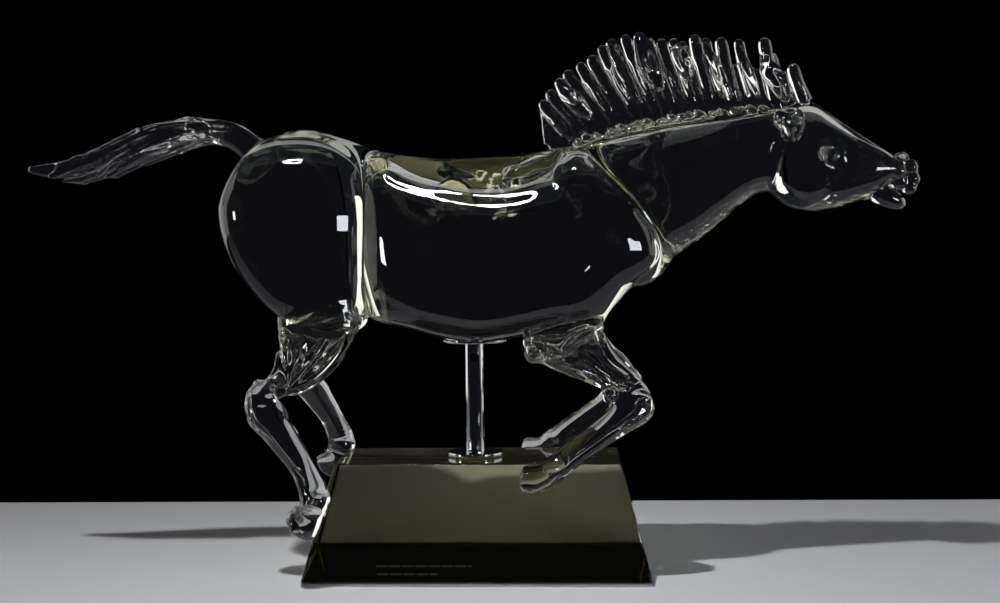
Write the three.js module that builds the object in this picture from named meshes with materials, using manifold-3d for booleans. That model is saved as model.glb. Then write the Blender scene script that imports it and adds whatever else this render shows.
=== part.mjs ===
// A galloping horse of solid clear glass, held by one chrome stem on a block of dark tinted glass.
// Millimetres, +Z up. +X points to the horse's head, the table is z = 0, and the block is centred on y = 0.
// The horse's right side faces -Y.
import * as THREE from 'three';
import { LoftGeometry } from 'three/addons/geometries/LoftGeometry.js';
import { mergeVertices } from 'three/addons/utils/BufferGeometryUtils.js';
import Module from 'manifold-3d';

// Driving dimensions
const GAP = 0.3; // between pieces that rest on each other
const BLOCK_X = 8; // middle of the block along the horse
const BLOCK_BOTTOM = [300, 155]; // footprint of the glass block
const BLOCK_TOP = [247, 102];
const BLOCK_HEIGHT = 99;
const BLOCK_BEVEL = 2.2; // round the bottom edge
const PAD_RADIUS = 12;
const PAD_HEIGHT = 1.5;
const PAD_INSET = [28, 24]; // from the block's edges to a pad's centre
const STEM_X = 4;
const STEM_RADIUS = 8.3;
const LOWER_DISC = { radius: 25, height: 4, chamfer: 0.6 };
const UPPER_DISC = { radius: 28.5, height: 2.7, chamfer: 0.4 };
const SCREW_HOLE = { radius: 4.2, depth: 5.5, z: 189.5 }; // across the stem, facing the front
const SCREW = { radius: 3.9, length: 3.6, socket: 2.1, socketDepth: 2.2 };
const BELLY_Z = 205.5; // flat spot on the belly, where the upper disc touches it
const HIND_SPREAD = { y: 38, z: 225, slope: 0.28 }; // each leg leans outwards below this height
const FORE_SPREAD = { y: 36, z: 210, slope: 0.36 };
const HAUNCH_Y = 31;
const SHOULDER_Y = 31;
const FAR_HIND_SHIFT = [0, 25]; // the far hind leg is drawn up higher than the near one, X and Z
const FAR_FORE_SHIFT = [-3, 3];
const FAR_HOCK = { forward: 12, z: 155, reach: 90 }; // and its hock is carried further forward
const ELBOW = [58, 195]; // knob at the back of the near elbow, X and Z
const LOCK_RADIUS = 5.4; // of a mane lock near its tip

// A ring is the outline's two points in the side view, X and Z of each, and the half width across.
const TRUNK = [
  [-198, 360, -195, 322, 18],
  [-192, 376, -187, 304, 28],
  [-181, 383, -176, 288, 36],
  [-158, 389, -155, 272, 42],
  [-130, 391, -132, 256, 45],
  [-92, 379, -94, 229, 50],
  [-74, 372, -76, 223, 54],
  [-21, 365, -22, 207, 61],
  [10, 366, 9, 203, 62],
  [41, 368, 40, 207, 62],
  [72, 371, 71, 213, 60],
  [103, 371, 102, 217, 55],
  [125, 358, 124, 231, 46],
  [146, 338, 143, 250, 32],
];
const HAUNCH = [
  [-160, 388, -128, 388, 10],
  [-172, 384, -116, 384, 18],
  [-190, 373, -99, 373, 24],
  [-204, 356, -91, 355, 28],
  [-215, 330, -86, 329, 31],
  [-215, 308, -85, 307, 32],
  [-209, 286, -87, 285, 30],
  [-198, 264, -89, 263, 27],
  [-181, 242, -91, 241, 23],
  [-166, 223, -96, 222, 20],
];
const GASKIN = [
  [-160, 240, -98, 240, 18],
  [-166, 224, -94, 223, 19],
  [-162, 208, -98, 209, 17.5],
  [-162, 195, -107, 191, 16],
  [-166, 183, -123, 174, 14.5],
  [-173, 176, -139, 164, 12.5],
];
const HIND_CANNON = [
  [-184, 171, -163, 159, 9],
  [-189, 165, -157, 152, 11.5],
  [-191, 152, -154, 148, 12.5],
  [-187, 138, -152, 141, 12],
  [-175, 126, -145, 132, 11],
  [-162, 112, -138, 120, 10.5],
  [-150, 98, -129, 105, 10],
  [-143, 84, -120, 90, 11],
  [-140, 73, -115, 77, 12],
];
const HIND_HOOF = [
  [-140, 79, -116, 80, 11],
  [-142, 68, -115, 68, 12.5],
  [-149, 65, -117, 60, 14.5],
  [-152, 61, -122, 50, 15.5],
  [-148, 52, -128, 43, 14],
];
const SHOULDER = [
  [88, 362, 106, 362, 10],
  [79, 354, 117, 352, 18],
  [68, 340, 137, 335, 24],
  [57, 323, 152, 318, 29],
  [55, 297, 163, 296, 31],
  [53, 274, 163, 273, 30],
  [52, 250, 134, 249, 27],
  [51, 219, 117, 219, 22],
];
const FOREARM = [
  [49, 226, 117, 226, 20],
  [50, 206, 119, 212, 19],
  [61, 189, 125, 201, 17.5],
  [76, 181, 133, 191, 16],
  [97, 173, 142, 183, 14.5],
  [112, 167, 151, 171, 13],
];
const FORE_CANNON = [
  [131, 169, 158, 158, 10],
  [124, 161, 161, 148, 12],
  [122, 152, 154, 138, 12.5],
  [113, 141, 139, 130, 11.5],
  [96, 129, 118, 117, 10.5],
  [79, 117, 99, 104, 10.5],
  [66, 107, 83, 93, 11.5],
];
const FORE_HOOF = [
  [73, 111, 89, 97, 10.5],
  [63, 103, 78, 88, 12],
  [55, 105, 68, 83, 13.5],
  [49, 103, 59, 78, 14.5],
  [47, 99, 54, 80, 13.5],
];
const NECK = [
  [80, 362, 118, 262, 40],
  [104, 378, 140, 266, 43],
  [129, 389, 168, 272, 42],
  [160, 395, 195, 286, 37],
  [210, 399, 233, 317, 30],
  [252, 400, 260, 333, 26],
  [276, 403, 270, 329, 24],
];
const HEAD = [
  [276, 404, 262, 345, 20],
  [289, 409, 268, 330, 24],
  [304, 408, 282, 319, 27],
  [319, 398, 304, 316, 26.5],
  [336, 387, 324, 319, 22],
  [352, 377, 341, 325, 18.5],
  [364, 369, 357, 332, 15.5],
  [373, 362, 370, 341, 12.5],
];
const UPPER_LIP = [
  [366, 361, 365, 342, 11],
  [373, 362, 372, 338, 12.5],
  [382, 364, 381, 334, 13.5],
  [391, 359, 390, 331, 12],
];
const LOWER_LIP = [
  [343, 342, 341, 326, 12],
  [353, 340, 348, 324, 12],
  [363, 336, 359, 319, 12],
  [374, 332, 370, 315, 11.5],
  [381, 328, 378, 316, 9.5],
];
const EAR = [
  [264, 400, 292, 399, 7],
  [269, 392, 291, 392, 7],
  [274, 384, 289, 384, 6],
  [279, 379, 286, 379, 4],
];
const COMB = [
  [70, 385, 74, 367, 3],
  [90, 396, 97, 374, 5],
  [118, 405, 124, 380, 6],
  [151, 411, 156, 386, 6.5],
  [230, 416, 232, 390, 6.5],
  [262, 416, 262, 392, 6.5],
  [290, 416, 284, 396, 6],
];
const TAIL = [
  [-168, 372, -192, 352, 10],
  [-183, 385, -202, 367, 11],
  [-203, 397, -213, 376, 11.5],
  [-224, 402, -228, 380, 12],
  [-258, 402, -254, 380, 12],
  [-293, 394, -285, 371, 11],
  [-324, 380, -318, 358, 10],
  [-352, 368, -350, 348, 8],
  [-374, 364, -372, 349, 5.5],
  [-392, 362, -391, 355, 3.5],
];

// Mane locks, from the tail end to the forelock: tip and root, X and Z of each
const LOCKS = [
  [64, 415, 92, 383],
  [70, 424, 103, 388],
  [78, 434, 113, 390],
  [86, 441, 123, 393],
  [97, 448, 134, 394],
  [108, 454, 144, 394],
  [116, 463, 154, 396],
  [125, 468, 162, 397],
  [137, 472, 170, 398],
  [150, 474, 178, 398],
  [158, 469, 186, 398],
  [169, 468, 195, 398],
  [179, 468, 204, 399],
  [187, 466, 211, 400],
  [198, 471, 218, 400],
  [208, 469, 226, 400],
  [221, 468, 239, 400],
  [237, 468, 256, 402],
  [259, 467, 273, 404],
  [265, 456, 284, 407],
  [283, 444, 296, 411],
];

// Tail strands: centre line, X and Z of each point. The last point of each is its free end.
const STRANDS = [
  [[-215, 386], [-242, 382], [-266, 374], [-290, 363]],
  [[-224, 389], [-255, 384], [-284, 371], [-319, 352]],
  [[-237, 392], [-273, 383], [-303, 368], [-346, 347]],
];

const wasm = await Module();
wasm.setup();

// A closed three.js geometry as a solid
function solid(geometry) {
  const bare = new THREE.BufferGeometry();
  bare.setAttribute('position', geometry.attributes.position);
  bare.setIndex(geometry.index);
  const merged = mergeVertices(bare, 1e-4);
  const vertProperties = new Float32Array(merged.attributes.position.array);
  const triVerts = new Uint32Array(merged.index.array);
  return new wasm.Manifold(new wasm.Mesh({ numProp: 3, vertProperties, triVerts }));
}

// The solid's surface as a three.js geometry
function geometryOf(body) {
  const { vertProperties, triVerts } = body.getMesh();
  const geometry = new THREE.BufferGeometry();
  geometry.setAttribute('position', new THREE.BufferAttribute(new Float32Array(vertProperties), 3));
  geometry.setIndex(new THREE.BufferAttribute(new Uint32Array(triVerts), 1));
  geometry.computeVertexNormals();
  return geometry;
}

// Two shrinking rings beyond an end, which round it off. A full round is 1, a flatter one is less.
function roundedEnd(end, inner, fullness) {
  const reach = fullness * Math.min(end.half.length(), end.halfWidth);
  const outward = end.centre.clone().sub(inner.centre).normalize();
  return [[0.55, 0.8], [0.9, 0.4]].map(([along, scale]) => ({
    centre: end.centre.clone().addScaledVector(outward, along * reach),
    half: end.half.clone().multiplyScalar(scale),
    halfWidth: end.halfWidth * scale,
  }));
}

// A solid through elliptical rings. yAt gives a ring's distance from the middle plane by its height.
function member(rings, yAt, sides, roundStart = 0, roundEnd = 1) {
  const sections = rings.map(([x1, z1, x2, z2, halfWidth]) => ({
    centre: new THREE.Vector3((x1 + x2) / 2, yAt((z1 + z2) / 2), (z1 + z2) / 2),
    half: new THREE.Vector3((x1 - x2) / 2, 0, (z1 - z2) / 2),
    halfWidth,
  }));
  const startCap = roundStart ? roundedEnd(sections[0], sections[1], roundStart).reverse() : [];
  const endCap = roundEnd ? roundedEnd(sections.at(-1), sections.at(-2), roundEnd) : [];
  const along = sections[1].centre.clone().sub(sections[0].centre);
  const turn = Math.sign(new THREE.Vector3().crossVectors(along, sections[0].half).y);
  const loft = [...startCap, ...sections, ...endCap].map(({ centre, half, halfWidth }) => {
    const points = [];
    for (let i = 0; i < sides; i++) {
      const angle = (2 * Math.PI * i) / sides;
      const point = centre.clone().addScaledVector(half, Math.cos(angle));
      point.y += turn * halfWidth * Math.sin(angle);
      points.push(point);
    }
    return points;
  });
  return solid(new LoftGeometry(loft, { closed: true, capStart: true, capEnd: true }));
}

// Rings square to a centre line in the side view
function ringsAlong(points, radiusAt, widthAt) {
  return points.map(([x, z], i) => {
    const [x1, z1] = points[Math.max(i - 1, 0)];
    const [x2, z2] = points[Math.min(i + 1, points.length - 1)];
    const length = Math.hypot(x2 - x1, z2 - z1);
    const t = i / (points.length - 1);
    const dx = (-(z2 - z1) / length) * radiusAt(t);
    const dz = ((x2 - x1) / length) * radiusAt(t);
    return [x + dx, z + dz, x - dx, z - dz, widthAt(t)];
  });
}

function shifted(rings, [dx, dz]) {
  return rings.map(([x1, z1, x2, z2, width]) => [x1 + dx, z1 + dz, x2 + dx, z2 + dz, width]);
}

const level = (y) => () => y;

// The bend of the far hind leg, whose hock is further forward than the near one's
function hockForward(rings) {
  const forward = (z) => FAR_HOCK.forward * Math.max(1 - Math.abs(z - FAR_HOCK.z) / FAR_HOCK.reach, 0);
  return rings.map(([x1, z1, x2, z2, width]) => {
    const dx = forward((z1 + z2) / 2);
    return [x1 + dx, z1, x2 + dx, z2, width];
  });
}

// The lean of a leg whose rings are raised by rise
function leaning(side, spread, rise) {
  return (z) => side * (spread.y + spread.slope * Math.max(spread.z + rise - z, 0));
}

function ball(radius, x, y, z) {
  const geometry = new THREE.SphereGeometry(radius, 8, 5);
  geometry.translate(x, y, z);
  return solid(geometry);
}

// One lock of the mane: straight, a little thicker at its root, with a round tip
function lock([tipX, tipZ, rootX, rootZ], index) {
  const length = Math.hypot(tipX - rootX, tipZ - rootZ);
  const reach = 1 - LOCK_RADIUS / length;
  const end = [rootX + (tipX - rootX) * reach, rootZ + (tipZ - rootZ) * reach];
  const rings = ringsAlong([[rootX, rootZ], end], (t) => LOCK_RADIUS * (1.08 - 0.08 * t), (t) => 6.5 - t);
  return member(rings, level(index % 2 ? 1.5 : -1.5), 6);
}

function mane() {
  const fin = new THREE.Shape([[64, 408], [66, 374], [96, 380]].map(([x, z]) => new THREE.Vector2(x, z)));
  const finThickness = 4;
  const web = new THREE.ExtrudeGeometry(fin, { depth: finThickness, bevelEnabled: false, steps: 1 });
  web.rotateX(Math.PI / 2);
  web.translate(0, finThickness / 2, 0);
  return [member(COMB, level(0), 8, 1), solid(web), ...LOCKS.map(lock)];
}

function tail() {
  const strands = STRANDS.flatMap((points, i) => {
    const rings = ringsAlong(points, (t) => 4.6 - 1.4 * t, () => 3.6);
    const spread = 7 - 0.8 * i;
    return [-spread, spread].map((y) => member(rings, level(y), 6));
  });
  return [member(TAIL, level(0), 10), ...strands];
}

function hindLeg(side, shift) {
  const yAt = leaning(side, HIND_SPREAD, shift[1]);
  const pose = (rings) => shifted(side > 0 ? hockForward(rings) : rings, shift);
  return [
    member(HAUNCH, level(side * HAUNCH_Y), 14, 0, 0),
    member(pose(GASKIN), yAt, 10),
    member(pose(HIND_CANNON), yAt, 10, 1, 0),
    member(pose(HIND_HOOF), yAt, 10, 0, 0.3),
  ];
}

function foreLeg(side, shift) {
  const yAt = leaning(side, FORE_SPREAD, shift[1]);
  const [elbowX, elbowZ] = [ELBOW[0] + shift[0], ELBOW[1] + shift[1]];
  return [
    member(SHOULDER, level(side * SHOULDER_Y), 12, 0, 0),
    member(shifted(FOREARM, shift), yAt, 10),
    member(shifted(FORE_CANNON, shift), yAt, 10, 1, 0),
    member(shifted(FORE_HOOF, shift), yAt, 10, 0, 0.3),
    ball(8, elbowX, yAt(elbowZ), elbowZ),
  ];
}

function head() {
  const pair = [-1, 1].flatMap((side) => [
    member(EAR, level(side * 24), 8),
    ball(5, 316, side * 23.5, 368),
    ball(5, 380, side * 7, 362),
  ]);
  const mouth = [member(UPPER_LIP, level(0), 10, 0, 0.5), member(LOWER_LIP, level(0), 10, 0, 0.7)];
  return [member(HEAD, level(0), 14), ...mouth, ...pair];
}

function horse() {
  const members = [
    member(TRUNK, level(0), 16, 1),
    member(NECK, level(0), 12),
    ...head(),
    ...mane(),
    ...tail(),
    ...hindLeg(-1, [0, 0]),
    ...hindLeg(1, FAR_HIND_SHIFT),
    ...foreLeg(-1, [0, 0]),
    ...foreLeg(1, FAR_FORE_SHIFT),
  ];
  const body = members.reduce((whole, piece) => whole.add(piece));
  const grinder = new THREE.BoxGeometry(80, 50, 20);
  grinder.translate(STEM_X, 0, BELLY_Z - 10);
  return geometryOf(body.subtract(solid(grinder)));
}

// The glass block: sloping sides and a small bevel round the bottom edge
function block() {
  const bottom = PAD_HEIGHT + GAP;
  const [length, depth] = BLOCK_BOTTOM;
  const levels = [
    [length - 2 * BLOCK_BEVEL, depth - 2 * BLOCK_BEVEL, bottom],
    [length, depth, bottom + BLOCK_BEVEL],
    [...BLOCK_TOP, bottom + BLOCK_HEIGHT],
  ];
  const loft = levels.map(([x, y, z]) => [
    new THREE.Vector3(-x / 2, -y / 2, z),
    new THREE.Vector3(x / 2, -y / 2, z),
    new THREE.Vector3(x / 2, y / 2, z),
    new THREE.Vector3(-x / 2, y / 2, z),
  ]);
  const geometry = solid(new LoftGeometry(loft, { closed: true, capStart: true, capEnd: true }));
  return geometryOf(geometry);
}

// A chamfered disc from its underside up, on its own axis
function disc({ radius, height, chamfer }) {
  const profile = [
    [0, 0],
    [radius - chamfer, 0],
    [radius, chamfer],
    [radius, height - chamfer],
    [radius - chamfer, height],
    [0, height],
  ].map(([x, y]) => new THREE.Vector2(x, y));
  const geometry = new THREE.LatheGeometry(profile, 28);
  geometry.rotateX(Math.PI / 2);
  return geometryOf(solid(geometry));
}

function frontCylinder(radius, length, sides) {
  const geometry = new THREE.CylinderGeometry(radius, radius, length, sides);
  geometry.translate(0, -length / 2, 0);
  return solid(geometry);
}

// The stem with its blind cross hole at the front
function stem(length, holeHeight) {
  const rod = new THREE.CylinderGeometry(STEM_RADIUS, STEM_RADIUS, length, 32);
  rod.rotateX(Math.PI / 2);
  rod.translate(0, 0, length / 2);
  const floor = -(STEM_RADIUS - SCREW_HOLE.depth);
  const hole = frontCylinder(SCREW_HOLE.radius, 2 * STEM_RADIUS, 24);
  return geometryOf(solid(rod).subtract(hole.translate([0, floor, holeHeight])));
}

// The set screw, with a hexagon socket in its front end
function setScrew() {
  const body = frontCylinder(SCREW.radius, SCREW.length, 24);
  const socket = frontCylinder(SCREW.socket, SCREW.length, 6);
  return geometryOf(body.subtract(socket.translate([0, SCREW.socketDepth - SCREW.length, 0])));
}

const GLASS = { color: 0xdfe6dc, roughness: 0.04, metalness: 0 };
const TINTED = { color: 0x2a2c1c, roughness: 0.05, metalness: 0 };
const CHROME = { color: 0xc8cacc, roughness: 0.08, metalness: 1 };
const STEEL = { color: 0x5a5a58, roughness: 0.35, metalness: 1 };
const RUBBER = { color: 0xb9b8a4, roughness: 0.6, metalness: 0 };

const group = new THREE.Group();

function place(name, geometry, material, x, y, z) {
  const mesh = new THREE.Mesh(geometry, new THREE.MeshStandardMaterial(material));
  mesh.name = name;
  mesh.position.set(x, y, z);
  group.add(mesh);
}

const blockTop = PAD_HEIGHT + GAP + BLOCK_HEIGHT;
const upperDiscZ = BELLY_Z - GAP - UPPER_DISC.height;
const lowerDiscZ = blockTop + GAP;
const stemZ = lowerDiscZ + LOWER_DISC.height + GAP;
const stemLength = upperDiscZ - GAP - stemZ;
const screwBack = -(STEM_RADIUS - SCREW_HOLE.depth) - GAP;

place('horse', horse(), GLASS, 0, 0, 0);
place('upper_disc', disc(UPPER_DISC), CHROME, STEM_X, 0, upperDiscZ);
place('stem', stem(stemLength, SCREW_HOLE.z - stemZ), CHROME, STEM_X, 0, stemZ);
place('set_screw', setScrew(), STEEL, STEM_X, screwBack, SCREW_HOLE.z);
place('lower_disc', disc(LOWER_DISC), CHROME, STEM_X, 0, lowerDiscZ);
place('block', block(), TINTED, BLOCK_X, 0, 0);

let padNumber = 1;
for (const sideX of [-1, 1]) {
  for (const sideY of [-1, 1]) {
    const x = BLOCK_X + sideX * (BLOCK_BOTTOM[0] / 2 - PAD_INSET[0]);
    const y = sideY * (BLOCK_BOTTOM[1] / 2 - PAD_INSET[1]);
    const pad = new THREE.CylinderGeometry(PAD_RADIUS, PAD_RADIUS, PAD_HEIGHT, 16);
    pad.rotateX(Math.PI / 2);
    place(`pad_${padNumber}`, geometryOf(solid(pad)), RUBBER, x, y, PAD_HEIGHT / 2);
    padNumber += 1;
  }
}

export default group;
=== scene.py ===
"""A galloping horse of solid clear glass, on a chrome stem and a block of dark tinted glass."""

import math

import bpy
import numpy as np
import openvdb as vdb
from mathutils import Matrix, Vector


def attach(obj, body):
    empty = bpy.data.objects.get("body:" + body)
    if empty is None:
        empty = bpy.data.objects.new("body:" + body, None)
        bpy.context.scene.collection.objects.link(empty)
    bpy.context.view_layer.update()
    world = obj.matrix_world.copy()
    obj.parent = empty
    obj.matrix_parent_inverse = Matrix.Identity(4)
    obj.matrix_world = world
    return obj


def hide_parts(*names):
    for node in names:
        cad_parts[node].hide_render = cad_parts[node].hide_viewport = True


bl_info = {
    "name": "Glass horse on a tinted block",
    "version": (1, 0, 0),
    "blender": (4, 5, 0),
    "location": "View3D > Sidebar > Glass horse",
    "description": "Builds a hot-worked solid glass horse, its chrome stem and its tinted glass block",
    "category": "Add Mesh",
}

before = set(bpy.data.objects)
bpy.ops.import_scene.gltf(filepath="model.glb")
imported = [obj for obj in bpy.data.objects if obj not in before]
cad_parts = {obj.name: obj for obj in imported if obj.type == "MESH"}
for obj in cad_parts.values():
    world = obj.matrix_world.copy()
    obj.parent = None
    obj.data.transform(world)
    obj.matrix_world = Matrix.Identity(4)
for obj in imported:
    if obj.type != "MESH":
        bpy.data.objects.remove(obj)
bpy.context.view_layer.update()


MM = 0.001

# The horse in millimetres, in the frame's own axes. A ring is the side view's two outline points,
# X and Z of each, and the half width across. A sixth number makes the ring pear-shaped: narrower
# towards its first point.
TRUNK = [
    (-176, 380, -172, 296, 20),
    (-158, 386, -155, 276, 32),
    (-130, 388, -132, 256, 33),
    (-109, 383, -112, 243, 32),
    (-93, 377, -96, 230, 34),
    (-84, 374, -86, 224, 42, 0.05),
    (-72, 371, -74, 220, 52, 0.1),
    (-50, 367, -52, 215, 61, 0.2),
    (-21, 365, -22, 207, 67, 0.25),
    (10, 366, 9, 203, 73, 0.3),
    (41, 368, 40, 207, 75, 0.3),
    (72, 371, 71, 213, 73, 0.25),
    (103, 371, 102, 217, 65, 0.2),
    (125, 358, 124, 231, 54, 0.1),
    (146, 338, 143, 250, 38),
]
HAUNCH = [
    (-162, 388, -130, 388, 11),
    (-174, 384, -116, 383, 20),
    (-190, 373, -100, 372, 29),
    (-204, 356, -92, 355, 35.5),
    (-215, 330, -87, 329, 41),
    (-215, 308, -85, 307, 43),
    (-209, 286, -86, 285, 42),
    (-198, 264, -88, 263, 40),
    (-181, 242, -90, 241, 36),
    (-166, 228, -94, 228, 29),
]
GASKIN = [
    (-160, 240, -98, 240, 17),
    (-165, 224, -94, 223, 18),
    (-162, 208, -98, 209, 16.5),
    (-162, 195, -107, 191, 15),
    (-166, 183, -123, 174, 13.5),
    (-173, 176, -139, 164, 12),
]
HIND_CANNON = [
    (-184, 171, -163, 159, 9),
    (-189, 165, -157, 152, 11.5),
    (-191, 152, -154, 148, 12.5),
    (-187, 138, -152, 141, 12),
    (-175, 126, -145, 132, 10.5),
    (-162, 112, -138, 120, 10),
    (-150, 98, -129, 105, 9.5),
    (-143, 84, -120, 90, 10.5),
    (-140, 73, -115, 77, 11.5),
]
HIND_HOOF = [
    (-140, 79, -116, 80, 10),
    (-141, 70, -116, 69, 11),
    (-147, 67, -119, 61, 12.8),
    (-152, 62, -122, 51, 14),
    (-150, 54, -128, 43, 13.4),
]
SHOULDER = [
    (88, 362, 106, 362, 8),
    (79, 355, 117, 353, 16),
    (68, 341, 137, 335, 24),
    (57, 323, 152, 318, 29),
    (55, 297, 163, 296, 31),
    (53, 274, 163, 273, 31),
    (52, 250, 136, 249, 28),
    (51, 224, 118, 222, 23),
]
FOREARM = [
    (49, 226, 117, 226, 20),
    (50, 206, 119, 212, 18),
    (61, 189, 125, 201, 16),
    (76, 181, 133, 191, 14.5),
    (97, 173, 142, 183, 13.5),
    (112, 167, 151, 171, 12.5),
]
FORE_CANNON = [
    (131, 169, 158, 158, 10),
    (124, 161, 161, 148, 12),
    (122, 152, 154, 138, 12.5),
    (113, 141, 139, 130, 11.5),
    (96, 129, 118, 117, 10),
    (79, 117, 99, 104, 10),
    (66, 107, 83, 93, 11.5),
]
FORE_HOOF = [
    (76, 111, 90, 98, 10),
    (66, 104, 79, 89, 11.5),
    (56, 104, 68, 83, 13),
    (49, 103, 58, 78, 14.5),
    (46, 97, 52, 80, 13.5),
]
NECK = [
    (80, 362, 118, 262, 40, 0.1),
    (102, 374, 140, 266, 43, 0.2),
    (129, 383, 168, 272, 42, 0.35),
    (160, 390, 195, 286, 37, 0.35),
    (195, 395, 223, 308, 32, 0.35),
    (226, 398, 243, 325, 28, 0.3),
    (252, 400, 260, 333, 26, 0.2),
    (276, 403, 270, 329, 24, 0.1),
]
HEAD = [
    (276, 404, 262, 345, 20),
    (289, 409, 268, 330, 24),
    (304, 408, 282, 319, 27),
    (319, 398, 304, 316, 27),
    (336, 387, 324, 319, 24.8),
    (352, 377, 341, 325, 22.2),
    (364, 369, 357, 332, 19.2),
    (373, 362, 370, 341, 15),
]
EAR = [
    (265, 401, 291, 401, 6),
    (268, 393, 292, 394, 7),
    (273, 386, 290, 386, 6),
    (279, 379, 286, 379, 4),
]
COMB = [
    (72, 385, 76, 367, 3),
    (90, 397, 97, 374, 5),
    (118, 407, 124, 380, 6),
    (151, 413, 156, 386, 6.5),
    (190, 418, 193, 388, 6.5),
    (230, 419, 232, 390, 6.5),
    (262, 419, 262, 392, 6.5),
    (288, 414, 282, 396, 5),
]
COMB_END = [(63, 410, 68, 409, 2.5), (64, 396, 82, 393, 2.5), (66, 376, 98, 380, 3)]
TAIL = [
    (-168, 372, -192, 352, 10),
    (-183, 385, -202, 367, 11),
    (-203, 397, -213, 376, 12),
    (-224, 402, -228, 380, 11),
    (-258, 402, -254, 384, 10),
    (-293, 394, -286, 375, 10),
    (-324, 380, -319, 362, 9),
    (-352, 368, -350, 353, 7),
    (-374, 364, -372, 352, 4.5),
    (-391, 362, -390, 355, 3.5),
]

# Mane locks from the tail end to the forelock: tip and root, X and Z of each
LOCKS = [
    (64, 415, 92, 383),
    (70, 424, 103, 388),
    (78, 434, 113, 390),
    (86, 441, 123, 393),
    (97, 448, 134, 394),
    (108, 454, 144, 394),
    (116, 463, 154, 396),
    (125, 468, 162, 397),
    (137, 472, 170, 398),
    (150, 474, 178, 398),
    (158, 469, 186, 398),
    (169, 468, 195, 398),
    (179, 468, 204, 399),
    (187, 466, 211, 400),
    (198, 471, 218, 400),
    (208, 469, 226, 400),
    (221, 468, 239, 400),
    (237, 468, 256, 402),
    (259, 467, 273, 404),
    (265, 456, 284, 407),
    (283, 444, 296, 411),
]

# How a leg stands out: its middle line's Y, the height down to which it is upright, and its lean
# outwards below that
HIND_SPREAD = (38, 225, 0.28)
FORE_SPREAD = (36, 210, 0.36)
HAUNCH_Y = 22
CROUP_Z = 390  # where the haunches begin to part
SHOULDER_Y = 31

# The far legs against the near ones, forward and up
FAR_HIND_SHIFT = (0, 25)
FAR_FORE_SHIFT = (-3, 3)
FAR_HOCK = (12, 155, 90)  # forward by, at height, fading over
FAR_SEAM_FORWARD = 14

BLOCK_X = 8
BLOCK_BOTTOM = (300, 155)
BLOCK_TOP = (247, 102)
BLOCK_Z = 1.8
BLOCK_HEIGHT = 99
BLOCK_BEVEL = 2.2
STROKE_ROWS = [(-77, 6, 16.2, 1.8), (-76, -24, 9.6, 1.8)]  # from X, to X, foot and height
STROKE_PITCH = 1.6
STROKE_WIDTH = 0.4
BELLY_Z = 205.5
STEM_X = 4
DISCS = {"upper_disc": (28.5, 202.5, 205.2), "lower_disc": (25, 101.1, 105.1)}  # radius, foot, top
BELLY_GRIND = (25, 205.22, 205.46, 0.1)  # radius, foot, top and rounding of the rim
PAD_OUT = (122, 53.5)  # from the block's middle
PAD_SECTION = [  # radius and height
    (0, 0.5), (6.6, 0.5), (7.4, 0), (11.2, 0), (12, 0.7), (11.5, 1.5), (7.4, 1.5), (6.6, 1), (0, 1)
]


def catmull_rom(values, steps):
    """A smooth run of rows through the given ones, steps rows from each to the next."""
    rows = np.asarray(values, float)
    padded = np.vstack([2 * rows[0] - rows[1], rows, 2 * rows[-1] - rows[-2]])
    t = (np.arange(steps) / steps)[:, None]
    parts = []
    for i in range(len(rows) - 1):
        a, b, c, d = padded[i:i + 4]
        cubic = (2 * a - 5 * b + 4 * c - d) * t**2 + (3 * b - a - 3 * c + d) * t**3
        parts.append(0.5 * (2 * b + (c - a) * t + cubic))
    return np.vstack(parts + [rows[-1:]])


def ring_rows(rings, y_at):
    """Rows of middle X, Y, Z, half vector X, Z, half width and pear value."""
    rows = []
    for x1, z1, x2, z2, width, *pear in rings:
        z = (z1 + z2) / 2
        rows.append(((x1 + x2) / 2, y_at(z), z, (x1 - x2) / 2, (z1 - z2) / 2, width, *(pear or [0])))
    return np.array(rows)


def rounded_end(end, inner, fullness, count=6):
    """Shrinking rings past an end row, up to a dome. A full dome is 1, a flatter one is less."""
    outward = end[:3] - inner[:3]
    outward /= np.linalg.norm(outward)
    reach = fullness * min(np.hypot(end[3], end[4]), end[5])
    rows = []
    for angle in np.linspace(0, math.pi / 2, count + 1)[1:]:
        row = end.copy()
        row[:3] += outward * reach * math.sin(angle)
        row[3:6] *= max(math.cos(angle), 0.02)
        rows.append(row)
    return np.array(rows)


def with_ends(rows, round_start, round_end):
    """The rows with domes past their ends, where these are asked for."""
    parts = [rows]
    if round_start:
        parts.insert(0, rounded_end(rows[0], rows[1], round_start)[::-1])
    if round_end:
        parts.append(rounded_end(rows[-1], rows[-2], round_end))
    return np.vstack(parts)


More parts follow.
